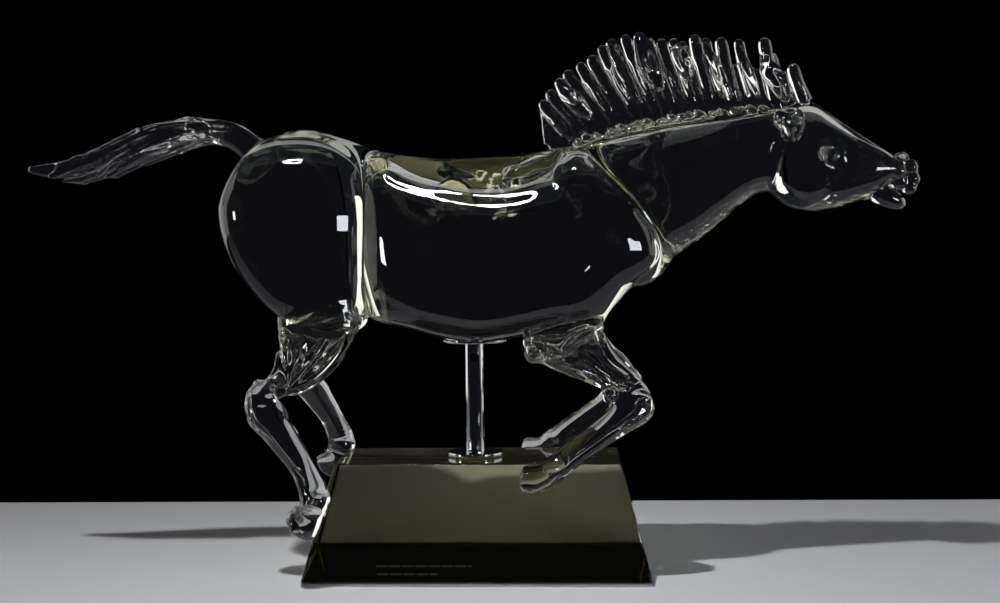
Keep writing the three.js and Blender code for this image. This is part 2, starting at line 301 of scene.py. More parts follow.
def loft(rows, sides=48, crest=False, square=0):
    """A closed skin of points and triangles round the rows' ellipses. A crest has straight flanks and a
    narrow edge at the rings' first points. square fills the corners of the half at the first points (1)
    or at the second ones (-1)."""
    angles = 2 * math.pi * np.arange(sides) / sides
    along, across = np.cos(angles), np.sin(angles)
    narrow = 1 - rows[:, 6:7] * along
    if crest:
        upper = along > 0
        along = np.where(upper, np.abs(along) ** 0.5, along)
        across = np.where(upper, np.sign(across) * np.abs(across) ** 0.5, across)
        narrow = np.where(upper, 1 - rows[:, 6:7] * along**2, 1)
    if square:
        corner = along * square > 0
        along = np.where(corner, np.sign(along) * np.abs(along) ** 0.68, along)
        across = np.where(corner, np.sign(across) * np.abs(across) ** 0.68, across)
    ring = np.empty((len(rows), sides, 3))
    ring[:, :, 0] = rows[:, 3:4] * along
    ring[:, :, 1] = rows[:, 5:6] * across * narrow
    ring[:, :, 2] = rows[:, 4:5] * along
    points = (rows[:, None, :3] + ring).reshape(-1, 3)
    ends = np.array([rows[0, :3], rows[-1, :3]])
    i, j = np.meshgrid(np.arange(len(rows) - 1), np.arange(sides), indexing="ij")
    a = (i * sides + j).ravel()
    b = (i * sides + (j + 1) % sides).ravel()
    skin = np.vstack([np.stack([a, b, b + sides], 1), np.stack([a, b + sides, a + sides], 1)])
    j = np.arange(sides)
    last = (len(rows) - 1) * sides
    start_cap = np.stack([np.full(sides, len(points)), (j + 1) % sides, j], 1)
    end_cap = np.stack([np.full(sides, len(points) + 1), last + j, last + (j + 1) % sides], 1)
    return np.vstack([points, ends]), np.vstack([skin, start_cap, end_cap])


def member(rings, y_at, round_start=0, round_end=1, steps=8, sides=48, crest=False, square=0):
    """The skin of one limb or mass, from its rings."""
    rows = catmull_rom(ring_rows(rings, y_at), steps)
    return loft(with_ends(rows, round_start, round_end), sides, crest, square)


def rod(points, radii, round_start=1, round_end=1, steps=8, sides=20, flat=1.0):
    """A round rod along points in space, with a radius at each. flat squashes it across the side view."""
    path = catmull_rom([(*point, radius) for point, radius in zip(points, radii)], steps)
    tangent = np.gradient(path[:, :3], axis=0)
    length = np.hypot(tangent[:, 0], tangent[:, 2])
    rows = np.zeros((len(path), 7))
    rows[:, :3] = path[:, :3]
    rows[:, 3] = -tangent[:, 2] / length * path[:, 3]
    rows[:, 4] = tangent[:, 0] / length * path[:, 3]
    rows[:, 5] = path[:, 3] * flat
    return loft(with_ends(rows, round_start, round_end), sides)


def egg(centre, radii, tilt=0.0):
    """An ellipsoid with its X and Z radii turned by tilt degrees in the side view."""
    rows = []
    turn = math.radians(tilt)
    along = np.array([math.cos(turn), 0, math.sin(turn)])
    square = np.array([-math.sin(turn), 0, math.cos(turn)])
    for angle in np.linspace(-math.pi / 2, math.pi / 2, 15):
        size = max(math.cos(angle), 0.02)
        middle = np.array(centre) + along * radii[0] * math.sin(angle)
        half = square * radii[2] * size
        rows.append((*middle, half[0], half[2], radii[1] * size, 0))
    return loft(np.array(rows), 24)


def level(y):
    """A middle line that keeps to one upright plane."""
    return lambda z: y


def leaning(side, spread, rise):
    """The middle line of a leg that splays outwards. rise lifts the height at which it starts to."""
    y, top, slope = spread
    return lambda z: side * (y + slope * max(top + rise - z, 0))


def haunch_line(side):
    """The middle line of a haunch, which leaves the croup's middle and runs apart downwards."""
    return lambda z: side * HAUNCH_Y * min(1, max(CROUP_Z - z, 0) / 45) ** 0.6


def shifted(rings, shift):
    """The rings moved forward and up."""
    dx, dz = shift
    return [(x1 + dx, z1 + dz, x2 + dx, z2 + dz, *rest) for x1, z1, x2, z2, *rest in rings]


def hock_forward(rings):
    """The far hind leg's bend: its hock is further forward than the near one's."""
    forward, height, reach = FAR_HOCK
    moved = []
    for x1, z1, x2, z2, width in rings:
        dx = forward * max(1 - abs((z1 + z2) / 2 - height) / reach, 0)
        moved.append((x1 + dx, z1, x2 + dx, z2, width))
    return moved


class MoltenGlass:
    """A body of glass as a field of distances to its skin, in millimetres. Pieces melt into it."""

    FAR = 40.0

    def __init__(self, low, high, voxel):
        self.voxel = voxel
        self.low = np.floor(np.array(low) / voxel).astype(int)
        self.shape = np.ceil(np.array(high) / voxel).astype(int) - self.low
        self.field = np.full(self.shape, self.FAR, np.float32)
        self.transform = vdb.createLinearTransform(voxelSize=voxel)

    def distances(self, skin, reach):
        """The cells near a skin and their distances to it, true out to reach and a little further."""
        points, triangles = skin
        band = math.ceil(reach / self.voxel) + 3
        grid = vdb.FloatGrid.createLevelSetFromPolygons(
            points.astype(np.float32),
            triangles=triangles.astype(np.uint32),
            transform=self.transform,
            exBandWidth=float(band),
            inBandWidth=float(band),
        )
        low = np.floor(points.min(0) / self.voxel).astype(int) - band - 1
        high = np.ceil(points.max(0) / self.voxel).astype(int) + band + 1
        low = np.maximum(low, self.low)
        high = np.minimum(high, self.low + self.shape)
        block = np.empty(high - low, np.float32)
        grid.copyToArray(block, ijk=tuple(int(value) for value in low))
        edge = band * self.voxel * 0.98
        block[block > edge] = self.FAR
        block[block < -edge] = -self.FAR
        start = low - self.low
        return tuple(slice(a, a + n) for a, n in zip(start, block.shape)), block

    def add(self, skin, fillet):
        """Fuses a piece on, with a fillet that reaches about this far."""
        place, block = self.distances(skin, fillet)
        held = self.field[place]
        blend = np.maximum(fillet - np.abs(held - block), 0) / fillet
        self.field[place] = np.minimum(held, block) - blend**2 * fillet / 4

    def cut(self, skin, fillet):
        """Presses a tool's shape out of the glass."""
        place, block = self.distances(skin, fillet)
        held = self.field[place]
        blend = np.maximum(fillet - np.abs(held + block), 0) / fillet
        self.field[place] = np.maximum(held, -block) + blend**2 * fillet / 4

    def sample(self, points):
        """The field at points in millimetres, blended between its cells."""
        place = points / self.voxel - self.low
        cell = np.clip(np.floor(place).astype(int), 0, np.array(self.shape) - 2)
        part = place - cell
        total = np.zeros(len(points))
        for corner in np.ndindex(2, 2, 2):
            share = np.prod(np.where(corner, part, 1 - part), axis=1)
            i, j, k = (cell + corner).T
            total += share * self.field[i, j, k]
        return total

    def normals(self, points):
        """Directions straight out of the glass."""
        step = self.voxel * 0.9
        axes = np.eye(3) * step
        slope = np.stack([self.sample(points + axis) - self.sample(points - axis) for axis in axes], axis=1)
        return slope / np.maximum(np.linalg.norm(slope, axis=1, keepdims=True), 1e-9)

    def calm(self, rounds):
        """Softens the field by about a cell for each round."""
        for _ in range(rounds):
            for axis in range(3):
                inner = [slice(None)] * 3
                before, after = list(inner), list(inner)
                inner[axis], before[axis], after[axis] = slice(1, -1), slice(None, -2), slice(2, None)
                held = self.field
                beside = held[tuple(before)] + held[tuple(after)]
                smooth = held.copy()
                smooth[tuple(inner)] = 0.5 * held[tuple(inner)] + 0.25 * beside
                self.field = smooth

    def skin(self):
        """The body's skin as points in millimetres and four-sided faces."""
        grid = vdb.FloatGrid(self.FAR)
        grid.copyFromArray(self.field, ijk=tuple(int(value) for value in self.low), tolerance=0.0)
        grid.transform = self.transform
        return grid.convertToQuads(isovalue=0.0)


def polish(points, quads, rounds, strength=0.5):
    """Evens the skin out like a flame does: each point moves towards its neighbours' middle."""
    edges = np.unique(np.sort(np.vstack([quads[:, [i, (i + 1) % 4]] for i in range(4)]), axis=1), axis=0)
    ends = np.concatenate([edges[:, 0], edges[:, 1]])
    others = np.concatenate([edges[:, 1], edges[:, 0]])
    count = np.bincount(ends, minlength=len(points))[:, None]
    for turn in range(rounds):
        factor = strength if turn % 2 == 0 else -strength * 1.04
        total = np.stack([np.bincount(ends, points[others, k], len(points)) for k in range(3)], axis=1)
        points = points + factor * (total / count - points)
    return points


def leg_points(side, shift, y_at):
    """Gives the function that places a side-view point of a leg, out from its middle line."""
    return lambda x, z, out=0: (x + shift[0], y_at(z + shift[1]) + side * out, z + shift[1])


def ridge_radii(radius, count, start):
    """Radii along a pulled ridge. start is the share of the full radius that its first end has."""
    return [radius * start] + [radius] * (count - 2) + [radius * 0.6]


def hind_leg(glass, side):
    """One hind leg down to its cupped hoof, which is turned up behind with the pastern's roll over it."""
    far = side > 0
    shift = FAR_HIND_SHIFT if far else (0, 0)
    y_at = leaning(side, HIND_SPREAD, shift[1])
    at = leg_points(side, shift, y_at)

    def pose(rings):
        return shifted(hock_forward(rings) if far else rings, shift)

    glass.add(member(HAUNCH, haunch_line(side), 0.3, 0.75, 12, 160, square=1), 2.5)
    glass.add(member(pose(GASKIN), y_at, sides=64), 4)
    glass.add(member(pose(HIND_CANNON), y_at, 1, 1, sides=64), 2)
    for ridge, reach, radius in HIND_MUSCLES:
        glass.add(rod([at(x, z, reach) for x, z in ridge], ridge_radii(radius, len(ridge), 1)), 1.8)
    forward = FAR_SEAM_FORWARD if far else 0
    for seam in HOCK_SEAMS:
        glass.cut(rod([at(x + forward, z, HOCK_REACH) for x, z in seam], (1.4, 2.4, 2.4, 1.6)), 0.6)
    glass.add(member(shifted(HIND_HOOF, shift), y_at, 0, 0.35, sides=64), 1.5)
    pastern, sole = at(-126, 76), at(-142, 43)
    glass.add(egg(pastern, (11.5, 13, 7.5), -25), 1)
    glass.add(rod([at(*point) for point in PASTERN_ROLL], (2.5, 3, 2.5)), 1)
    glass.cut(egg(sole, (10, 10, 5.5), -38), 2)


# Pulled muscle ridges over the gaskin: side-view line, distance from the leg's middle, radius
HIND_MUSCLES = [
    ([(-158, 214), (-154, 196), (-150, 182), (-145, 172)], 11, 4.2),
    ([(-138, 210), (-142, 196), (-147, 183), (-150, 172)], 13, 4.2),
    ([(-122, 208), (-130, 195), (-141, 182), (-150, 170)], 13, 4.0),
    ([(-101, 212), (-110, 199), (-125, 184), (-143, 172), (-166, 160)], 9, 5.0),
    ([(-160, 196), (-162, 184), (-168, 173), (-178, 162)], 6, 4.5),
]

# Seams round the hock in the side view, the hock's half thickness there, and the pastern's roll: X, Z
# and distance from the leg's middle
HOCK_REACH = 12.5
HOCK_SEAMS = [
    [(-190, 149), (-181, 155), (-168, 156), (-156, 150)],
    [(-168, 180), (-174, 173), (-181, 165), (-188, 156)],
]
PASTERN_ROLL = [(-143, 70, 8), (-134, 66, 12), (-123, 65, 11)]

# Pulled ridges over the forearm, as for the gaskin
FORE_MUSCLES = [
    ([(57, 206), (70, 202), (84, 198), (98, 190)], 12, 3.6),
    ([(66, 193), (88, 187), (108, 179), (124, 167)], 10, 4.2),
    ([(84, 200), (92, 208), (101, 214), (115, 219)], 19, 4.0),
    ([(108, 214), (113, 198), (121, 186), (137, 176)], 13, 3.6),
    ([(116, 212), (119, 202), (128, 190), (141, 178)], 9, 3.6),
    ([(78, 212), (92, 202), (108, 190), (124, 177)], 13, 3.8),
]

# Seams of the elbow and the knee: X, Z and distance from the leg's middle
ELBOW_SEAM = [(66, 206, 12), (70, 196, 13), (68, 188, 11)]
KNEE_SEAM = [(120, 158, 10), (132, 158, 14), (146, 156, 13), (160, 154, 9)]


def fore_leg(glass, side):
    shift = FAR_FORE_SHIFT if side > 0 else (0, 0)
    y_at = leaning(side, FORE_SPREAD, shift[1])
    at = leg_points(side, shift, y_at)
    glass.add(member(SHOULDER, level(side * SHOULDER_Y), 0.5, 0.6, 10, 120), 4)
    glass.add(member(shifted(FOREARM, shift), y_at, sides=64), 3)
    glass.add(member(shifted(FORE_CANNON, shift), y_at, 1, 1, sides=64), 2)
    for ridge, reach, radius in FORE_MUSCLES:
        glass.add(rod([at(x, z, reach) for x, z in ridge], ridge_radii(radius, len(ridge), 0.8)), 1.5)
    glass.add(member(shifted(FORE_HOOF, shift), y_at, 0, 0.35, sides=64), 1.5)
    pastern, sole = at(72, 99), at(42, 88)
    glass.add(egg(pastern, (12, 13, 8.5), 48), 1)
    glass.cut(egg(sole, (9, 9, 4.5), 76), 2)
    elbow, knee_cap, knee_back = at(58, 196, 3), at(148, 157, 5), at(124, 160, 2)
    glass.add(egg(elbow, (9.2, 11, 9.4)), 0.6)
    glass.cut(rod([at(*point) for point in ELBOW_SEAM], (1.5, 2.4, 1.5)), 0.6)
    glass.cut(rod([at(*point) for point in KNEE_SEAM], (1.6, 2.2, 2.2, 1.6)), 0.6)
    glass.add(egg(knee_cap, (11, 9, 8), -15), 1.5)
    glass.add(egg(knee_back, (8, 10, 8), 30), 1.5)


def head(glass):
    glass.add(member(HEAD, level(0), 0, 1, 10, 120), 3)
    lower_lip, chin = (364, 0, 328.5), (343, 0, 334)
    glass.add(egg(lower_lip, (21, 11.5, 9.2), -26), 1)
    glass.add(egg(chin, (13, 13, 10), 5), 2)
    for side in (-1, 1):
        glass.add(egg((347, side * 7, 345), (13, 14, 11), -20), 2.5)
    for side in (-1, 1):
        glass.add(rod([(x, side * 4.5, z) for x, z in NOSE_BRIDGE], (3, 4.2, 4.2, 4, 3.8, 3.2, 3)), 0.6)
    for lumps, stretch, fillet in ((JAW_BUMPS, 1.5, 0.6), (MUZZLE, 1, 1)):
        for x, y, z, radius in lumps:
            for side in (-1, 1):
                glass.add(egg((x, side * y, z), (radius * stretch, radius, radius)), fillet)
    for side in (-1, 1):
        cheek, nostril = (296, side * 9, 354), (382, side * 12, 361)
        glass.add(egg(cheek, (32, 22, 33)), 2)
        ear_leaf(glass, side)
        eye(glass, side)
        glass.cut(egg(nostril, (2.4, 4, 2.6)), 0.8)
        glass.cut(rod([(x, side * y, z) for x, y, z in CHEEK_SEAM], (1.4, 2, 2.2, 2.2, 1.6)), 0.4)


# The two ridges down the nose in the side view, and the seam behind the cheek: X, Y and its mirror, Z
NOSE_BRIDGE = [(284, 403), (296, 407), (308, 402), (320, 393), (336, 382), (356, 369), (374, 358)]
CHEEK_SEAM = [(275, 25, 388), (267, 25, 372), (263, 25, 355), (265, 20, 340), (270, 12, 331)]

# Lumps of the muzzle, pressed from soft glass: X, Y and its mirror, Z, radius
MUZZLE = [
    (379, 7, 361, 5.6),
    (386, 5, 353, 7.0),
    (388, 3, 343, 7.0),
    (386, 5, 335, 5.6),
    (375, 7, 350, 8.0),
    (377, 4, 341, 7.5),
    (365, 6, 342, 4.6),
    (364, 3, 350, 9.0),
    (359, 7, 336, 3.4),
    (366, 6, 335, 3.2),
]

# Where the pincers left bumps under the jaw: X, Y and its mirror, Z, radius
JAW_BUMPS = [
    (280, 14, 334, 3.4),
    (291, 15, 328, 3.6),
    (303, 13, 325, 3.2),
    (314, 14, 326, 3.6),
    (326, 12, 327, 3.2),
    (337, 12, 330, 3.4),
]


def ear_leaf(glass, side):
    """A leaf-shaped ear with two lumps and a fold."""
    glass.add(member(EAR, level(side * 24), 0.8, 1), 1.5)
    glass.add(egg((270, side * 27, 396), (5.5, 5, 5.5)), 0.8)
    glass.add(egg((286, side * 28, 396), (6, 5.5, 6)), 0.8)
    glass.cut(rod([(277, side * 32, 398), (281, side * 32, 390), (283, side * 31, 383)], (2, 2.4, 1.6)), 1)


def arc(centre, radius, start, end, count=10):
    """Points round a circle in the side view, from start to end in degrees."""
    x, y, z = centre
    turns = [math.radians(value) for value in np.linspace(start, end, count)]
    return [(x + radius * math.cos(turn), y, z + radius * math.sin(turn)) for turn in turns]


def eye(glass, side):
    """A bead in a round groove, with a long lid ridge behind it and a short one before it."""
    centre = (316, 0, 363)
    skin_y, taper = 26.4, 0.14  # half width of the face at the eye, and its narrowing forwards

    def at(points, lift):
        return [(x, side * (skin_y + lift - taper * (x - centre[0])), z) for x, y, z in points]

    glass.cut(rod(at(arc(centre, 6, 0, 350, 16), 0.8), [1.9] * 16, steps=3), 0.2)
    glass.add(egg(at([centre], 0.2)[0], (3.2, 3.2, 3.2)), 0.2)
    glass.add(rod(at(arc(centre, 9.6, 95, 265), 0.2), [1, 1.6, 1.9, 2, 2, 2, 2, 1.9, 1.6, 1], steps=4), 0.3)
    glass.add(rod(at(arc(centre, 9.2, -60, 60, 6), 0), (0.8, 1.3, 1.6, 1.6, 1.3, 0.8), steps=4), 0.3)


def mane_lock(glass, index, tip_x, tip_z, root_x, root_z):
    """One pulled lock, bowed a little forwards, with a ridge on each side."""
    length = math.hypot(tip_x - root_x, tip_z - root_z)
    along = np.array([tip_x - root_x, 0, tip_z - root_z]) / length
    forward = np.array([along[2], 0, -along[0]])
    root = np.array([root_x, 0, root_z])
    lean = np.array([0, 3.0 if index % 2 else -3.0, 0])
    points = []
    for t in (0, 0.25, 0.5, 0.75, 1):
        bow = 0.025 * length * math.sin(math.pi * t)
        points.append(root + along * t * (length - 5.6) - forward * bow + lean * t)
    plump = 1 + 0.1 * math.sin(2.9 * index)
    radii = [radius * plump for radius in (6, 6, 5.7, 5.5, 5.2)]
    glass.add(rod(points, radii, 0, 1, sides=32, flat=1.2), 1)
    for side in (-1, 1):
        ridge = [point + (0, side * 6.6, 0) + forward * 1.5 for point in points[1:4]]
        glass.add(rod(ridge, (1.6, 2.4, 1.4)), 0.6)


def crest_roll(glass, side):
    """The roll at the locks' roots, with a row of slanting beads on it."""
    roll = [(x, side * y, z) for x, y, z in CREST]
    glass.add(rod(roll, (2, 3.2, 3.6, 3.8, 3.8, 3.8, 3.6, 3.2)), 0.8)
    line = catmull_rom(CREST, 12)
    for number in range(BEADS):
        bead_x = 100 + 9 * number + 1.6 * math.sin(5.1 * number)
        x, y, z = line[np.argmin(np.abs(line[:, 0] - bead_x))]
        swell = 1 + 0.25 * math.sin(2.3 * number + side)
        glass.add(egg((x - 2, side * (y - 1), z + 3.5), (6.6 * swell, 3.6, 3.4 * swell), -38), 0.6)


def mane(glass):
    glass.add(member(COMB, level(0), 1, 1), 2)
    for index, ends in enumerate(LOCKS):
        mane_lock(glass, index, *ends)
    web = [(x, z, x + 22, z - 45, 3.2) for x, z in WEB_TOP]
    glass.add(member(web, level(0), 1, 1), 0.6)
    for path, width in PETALS:
        glass.add(rod(path, (width * 0.6, width, width * 1.05, width * 0.6), flat=0.75), 0.8)
        groove = [(x, y - width * 0.85, z) for x, y, z in path[1:3]]
        glass.cut(rod(groove, (width * 0.3, width * 0.4)), 0.8)
    for side in (-1, 1):
        crest_roll(glass, side)
    glass.add(member(COMB_END, level(0)), 1.5)


# Top line of the web that fuses the locks
WEB_TOP = [
    (72, 402), (82, 412), (97, 429), (110, 440), (127, 451),
    (150, 455), (190, 448), (230, 446), (258, 440), (276, 426),
]

# The roll of glass that holds the locks on the neck: X, Y and its mirror, Z, and its beads
BEADS = 19
CREST = [
    (84, 16, 366),
    (98, 17, 374),
    (116, 18, 379),
    (142, 18, 386),
    (168, 16.5, 391),
    (203, 14, 396),
    (237, 12, 398),
    (262, 11, 400),
]

# Petal-shaped locks laid on the near side of the mane: middle line from the tip down, half width
PETALS = [
    ([(151, -5, 467), (156, -9, 455), (161, -14, 440), (167, -13, 424)], 9),
    ([(81, -4, 429), (88, -8, 420), (96, -13, 412), (106, -11, 402)], 7.5),
    ([(182, -5, 463), (186, -9, 453), (190, -12, 443), (194, -11, 434)], 7),
    ([(260, -4, 446), (265, -9, 437), (271, -14, 427), (278, -12, 414)], 9),
    ([(125, -5, 462), (132, -8, 448), (141, -10, 430), (150, -9, 412)], 4.5),
    ([(208, -5, 462), (214, -8, 450), (221, -10, 434), (229, -9, 416)], 4.5),
    ([(236, -5, 460), (241, -8, 448), (247, -10, 434), (254, -9, 418)], 4.5),
]


def beside(row, place, side):
    """A point on the skin of a ring: place runs from the lower edge (-1) to the upper one (1)."""
    y = side * row[5] * math.sqrt(1 - place**2)
    return (row[0] + row[3] * place, y, row[2] + row[4] * place)


def tail(glass):
    """A curved fan: ribs along it, slanting flecks between them and long strands over both sides."""
    glass.add(member(TAIL, level(0), 0, 1, 8, 64), 4)
    rows = ring_rows(TAIL, level(0))[3:]
    for place, side in TAIL_RIBS:
        glass.add(rod([beside(row, place, side) for row in rows], (0.6, 2.2, 3.2, 3.1, 2.9, 2.2, 1.2)), 0.3)
    path = catmull_rom(rows, 12)
    for number in range(FLECKS):
        place = 0.1 + 0.5 * abs(math.sin(2.7 * number))
        size = 3.2 + 0.7 * math.sin(1.9 * number)
        fleck = beside(path[4 + (number * 37) % 52], place, 1 if number % 2 else -1)
        glass.add(egg(fleck, (size * 2.6, size, size), 34 + 14 * math.sin(3.3 * number)), 0.3)
    for points, radius, y in STRANDS:
        for side in (-1, 1):
            strand = [(x, side * y * (1 - 0.16 * place), z) for place, (x, z) in enumerate(points)]
            glass.add(rod(strand, ridge_radii(radius, len(points), 0.6)), 0.5)


# The tail's flecks, and its ribs: place across the side view, as in beside, and the side
FLECKS = 56
TAIL_RIBS = [(-0.8, -1), (-0.3, -1), (0.2, -1), (0.7, -1), (-0.6, 1), (0, 1), (0.6, 1)]

# Side-view lines of the tail's pulled strands, from root to tip, with their radii and Y
STRANDS = [
    ([(-222, 384), (-246, 381), (-268, 373), (-290, 363)], 4.4, 16),
    ([(-230, 387), (-258, 382), (-286, 369), (-319, 352)], 4.4, 19),
    ([(-240, 390), (-270, 385), (-304, 368), (-346, 347)], 4.2, 17),
    ([(-250, 394), (-282, 388), (-318, 372), (-372, 352)], 4.0, 15),
    ([(-262, 378), (-284, 371), (-302, 362), (-316, 356)], 3.4, 21),
    ([(-296, 368), (-316, 360), (-336, 351), (-360, 348)], 3.4, 16),
    ([(-212, 392), (-236, 393), (-258, 388), (-282, 378)], 4.4, 11),
    ([(-232, 397), (-258, 396), (-284, 387), (-310, 373)], 4.4, 12),
    ([(-254, 397), (-280, 393), (-306, 380), (-334, 364)], 4.2, 11),
    ([(-284, 391), (-308, 381), (-334, 368), (-368, 357)], 3.8, 8),
]


def belly_flat(glass):
    """The ground flat spot that sits on the upper disc, with the chips that grinding left."""
    for x, y, radius in BELLY_CHIPS:
        glass.cut(egg((STEM_X + x, y, BELLY_Z + 1), (radius * 1.5, radius, 2.2)), 1.5)
    grindstone = [(STEM_X, 0, z, 34, 0, 30, 0) for z in (BELLY_Z - 20, BELLY_Z)]
    glass.cut(loft(np.array(grindstone, float)), 0.5)


# X and Y from the stem, and radius
BELLY_CHIPS = [(-20, -8, 6), (-8, 10, 5), (8, -11, 6), (22, -2, 5), (30, 9, 5), (-2, -20, 5), (18, -20, 4)]


def horse_glass(voxel):
    """The whole horse, fused piece by piece."""
    glass = MoltenGlass((-402, -108, 34), (402, 108, 480), voxel)
    glass.add(member(TRUNK, level(0), 1, 1, 12, 200, square=-1), 1)
    glass.add(member(NECK, level(0), 0, 1, 10, 160, True), 6)
    for side in (-1, 1):
        hind_leg(glass, side)
        fore_leg(glass, side)
    head(glass)
    mane(glass)
    tail(glass)
    belly_flat(glass)
    return glass


def mesh_object(name, points, faces):
    """A mesh from points in millimetres."""
    mesh = bpy.data.meshes.new(name)
    mesh.from_pydata((np.asarray(points, float) * MM).tolist(), [], faces)
    mesh.validate()
    mesh.update()
    piece = bpy.data.objects.new(name, mesh)
    bpy.context.scene.collection.objects.link(piece)
    return piece


def block_levels():
    """Rows of half length, half depth, Z and corner radius, from the block's underside to its top."""
    (length, depth), (top_length, top_depth) = BLOCK_BOTTOM, BLOCK_TOP
    bottom = BLOCK_Z + BLOCK_BEVEL
    rows = []
    for angle in np.linspace(0, math.pi / 2, 5):
        inset = BLOCK_BEVEL * (1 - math.sin(angle))
        rows.append((length / 2 - inset, depth / 2 - inset, bottom - BLOCK_BEVEL * math.cos(angle), 2.4))
    for drop, inset in ((0.7, 0), (0.2, 0.2), (0, 0.7)):
        share = (BLOCK_HEIGHT - BLOCK_BEVEL - drop) / (BLOCK_HEIGHT - BLOCK_BEVEL)
        x = (length + (top_length - length) * share) / 2 - inset
        y = (depth + (top_depth - depth) * share) / 2 - inset
        rows.append((x, y, BLOCK_Z + BLOCK_HEIGHT - drop, 1.2))
    return rows


def rounded_block(name, levels, centre_x):
    """A block with flat faces and rounded corners through the levels, flat shaded on its big faces."""
    steps = (0, 22.5, 45, 67.5, 90)
    side_row = 4  # the row of the big sides, between the bottom's bevel and the top's
    turns = [math.radians(90 * corner + step) for corner in range(4) for step in steps]
    signs = [sign for sign in ((1, 1), (-1, 1), (-1, -1), (1, -1)) for _ in steps]
    points, count = [], len(turns)
    for half_x, half_y, z, radius in levels:
        for turn, (sx, sy) in zip(turns, signs):
            x = centre_x + sx * (half_x - radius) + radius * math.cos(turn)
            points.append((x, sy * (half_y - radius) + radius * math.sin(turn), z))
    faces = [tuple(reversed(range(count))), tuple(range(len(points) - count, len(points)))]
    smooth = [False, False]
    for row in range(len(levels) - 1):
        for i in range(count):
            a, b = row * count + i, row * count + (i + 1) % count
            faces.append((a, b, b + count, a + count))
            smooth.append(i % len(steps) != len(steps) - 1 or row != side_row)
    block = mesh_object(name, points, faces)
    for polygon, soft in zip(block.data.polygons, smooth):
        polygon.use_smooth = soft
    return block


def turned(name, profile, centre, sides=96):
    """A turned piece from its profile of radius and Z, from the axis out and back to it."""
    angles = 2 * math.pi * np.arange(sides) / sides
    points = [(centre[0], centre[1], profile[0][1])]
    for radius, z in profile[1:-1]:
        points += [(centre[0] + radius * math.cos(a), centre[1] + radius * math.sin(a), z) for a in angles]
    points.append((centre[0], centre[1], profile[-1][1]))
    faces = [(0, 1 + (i + 1) % sides, 1 + i) for i in range(sides)]
    rings = len(profile) - 2
    for ring in range(rings - 1):
        for i in range(sides):
            a, b = 1 + ring * sides + i, 1 + ring * sides + (i + 1) % sides
            faces.append((a, b, b + sides, a + sides))
    last = 1 + (rings - 1) * sides
    faces += [(last + i, last + (i + 1) % sides, len(points) - 1) for i in range(sides)]
    piece = mesh_object(name, points, faces)
    shade_smooth(piece, 35)
    return piece


def disc_profile(radius, bottom, top, round_by=0.9):
    """The section of a flat disc with a rounded rim."""
    profile = [(0, bottom)]
    for angle in np.linspace(-math.pi / 2, math.pi / 2, 9):
        middle = bottom + round_by if angle < 0 else top - round_by
        profile.append((radius - round_by * (1 - math.cos(angle)), middle + round_by * math.sin(angle)))
    return profile + [(0, top)]


def engraved_strokes(name):
    """Rows of short even slanting cuts on the block's front face. They spell nothing."""
    slope = (BLOCK_BOTTOM[1] - BLOCK_TOP[1]) / 2 / (BLOCK_HEIGHT - BLOCK_BEVEL)
    points, faces = [], []

    def on_face(x, z, lift):
        return (x, -BLOCK_BOTTOM[1] / 2 + slope * (z - BLOCK_Z - BLOCK_BEVEL) - lift, z)

    for start, end, foot, height in STROKE_ROWS:
        top, slant = foot + height, height / 3
        for number in range(int((end - start) / STROKE_PITCH)):
            if number % 7 == 6:
                continue
            x = start + STROKE_PITCH * number
            right = x + STROKE_WIDTH
            corners = [(x, foot), (right, foot), (right + slant, top), (x + slant, top)]
            first = len(points)
            points += [on_face(*corner, 0.08) for corner in corners]
            points += [on_face(*corner, 0.02) for corner in corners]
            quads = ((0, 1, 2, 3), (7, 6, 5, 4), (0, 4, 5, 1), (1, 5, 6, 2), (2, 6, 7, 3), (3, 7, 4, 0))
            faces += [tuple(first + corner for corner in quad) for quad in quads]
    return mesh_object(name, points, faces)


def apply_modifiers(piece):
    graph = bpy.context.evaluated_depsgraph_get()
    old = piece.data
    mesh = bpy.data.meshes.new_from_object(piece.evaluated_get(graph))
    piece.modifiers.clear()
    piece.data = mesh
    bpy.data.meshes.remove(old)


def shade_smooth(piece, angle=None):
    for polygon in piece.data.polygons:
        polygon.use_smooth = True
    if angle is not None:
        piece.data.set_sharp_from_angle(angle=math.radians(angle))


# Colours and materials

BLACK = (0.0, 0.0, 0.0, 1.0)
GLASS = {"Base_Color": (1.0, 1.0, 1.0, 1.0), "IOR": 1.5, "Transmission_Weight": 1.0}


def linear(text):
    """An sRGB hex colour as linear red, green, blue and alpha."""
    values = [int(text.lstrip("#")[i:i + 2], 16) / 255 for i in (0, 2, 4)]
    return (*[v / 12.92 if v <= 0.04045 else ((v + 0.055) / 1.055) ** 2.4 for v in values], 1.0)


def add_node(tree, kind, **inputs):
    """Adds a node. An input is a value, or a node and its output's name."""
    node = tree.nodes.new(kind)
    for key, value in inputs.items():
        socket = node.inputs[key.replace("_", " ")]
        if isinstance(value, tuple) and isinstance(value[0], bpy.types.Node):
            tree.links.new(value[0].outputs[value[1]], socket)
        else:
            socket.default_value = value
    return node


